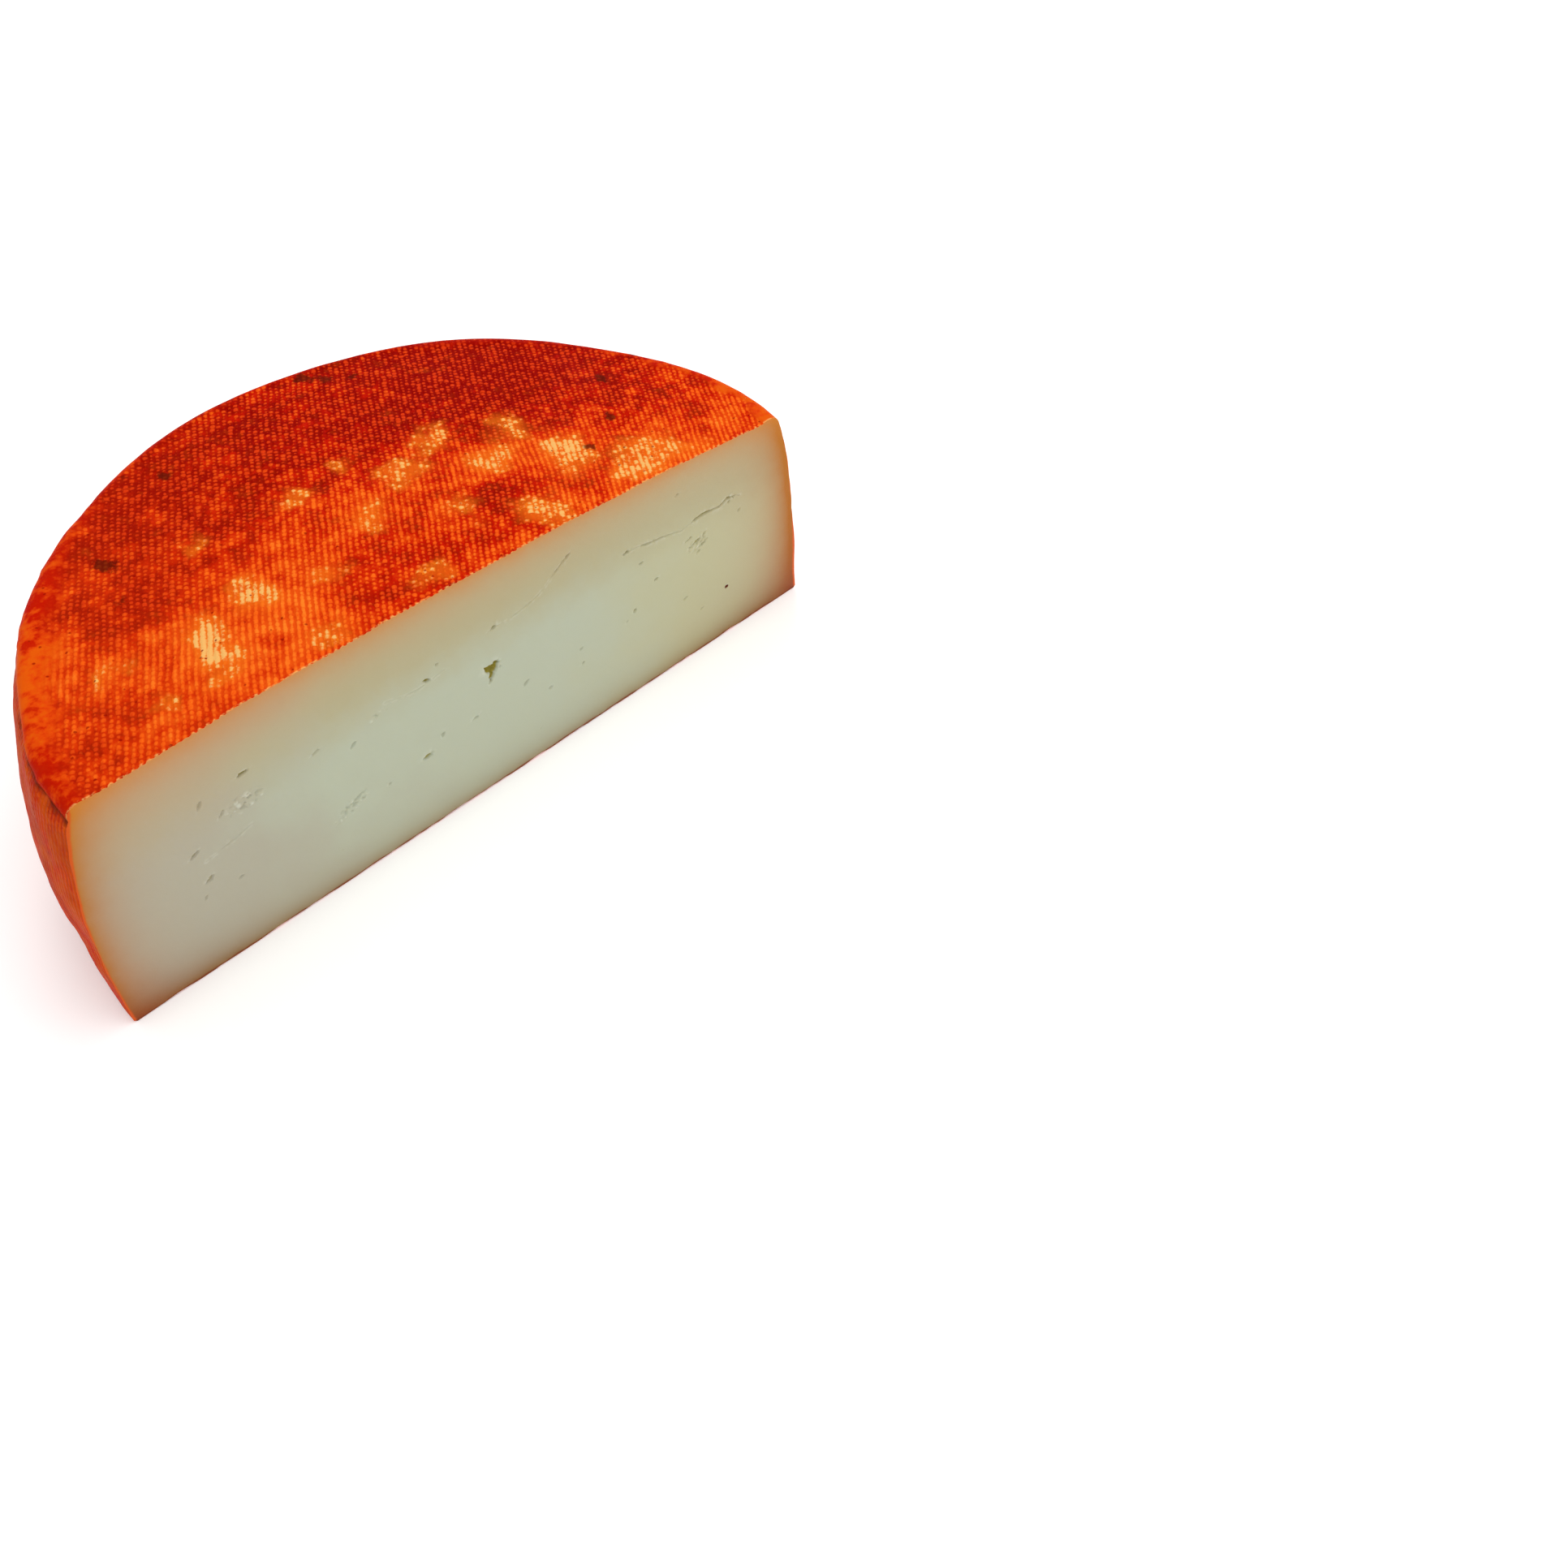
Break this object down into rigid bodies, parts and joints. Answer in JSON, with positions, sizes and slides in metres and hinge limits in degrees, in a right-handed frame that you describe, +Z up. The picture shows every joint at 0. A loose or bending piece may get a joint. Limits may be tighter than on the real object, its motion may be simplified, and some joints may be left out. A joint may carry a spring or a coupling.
{
  "type": "half cheese wheel",
  "caption": "Half of a firm pressed cheese wheel with a cloth-printed orange-red rind, cut straight through to show its pale paste.",
  "frame": {"origin": "middle of the bounding box in X and Y, on the surface the half rests on", "axes": "+Z up, +X along the cut face, +Y from the cut face into the half wheel, so the cut face looks along -Y"},
  "size_m": [0.23, 0.1156, 0.0761],
  "materials": {
    "cheese": "satin oily orange-red rind printed by cloth, with a smooth moist pale cream paste on the cut face"
  },
  "bodies": {
    "root": {"half_wheel": "cheese"}
  },
  "joints": []
}
